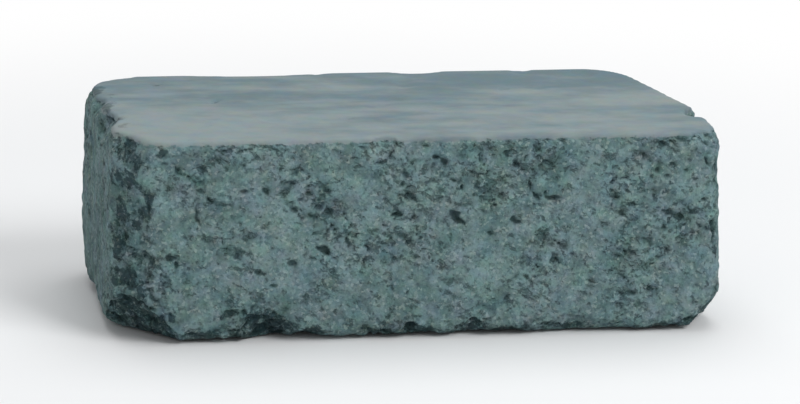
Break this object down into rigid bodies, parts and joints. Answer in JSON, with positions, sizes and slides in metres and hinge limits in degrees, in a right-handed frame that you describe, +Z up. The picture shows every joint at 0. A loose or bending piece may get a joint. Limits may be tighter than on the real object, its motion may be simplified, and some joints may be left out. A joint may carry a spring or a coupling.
{
  "type": "concrete wall block",
  "caption": "Tumbled concrete garden-wall block: one solid, roughly rectangular casting in blue-grey concrete with worn arrises and broken corners, laid dry in running bond.",
  "frame": {"origin": "centre of the bed, the flat underside that the block rests on", "axes": "+X along the length, towards the end whose back half is worn away; +Y through the depth, from the fair face to the back; +Z up, out of the top bed"},
  "size_m": [0.3, 0.13, 0.1],
  "materials": {
    "concrete": "rough, granular, with a smoother top bed"
  },
  "bodies": {
    "root": {"wall_block": "concrete"}
  },
  "joints": []
}
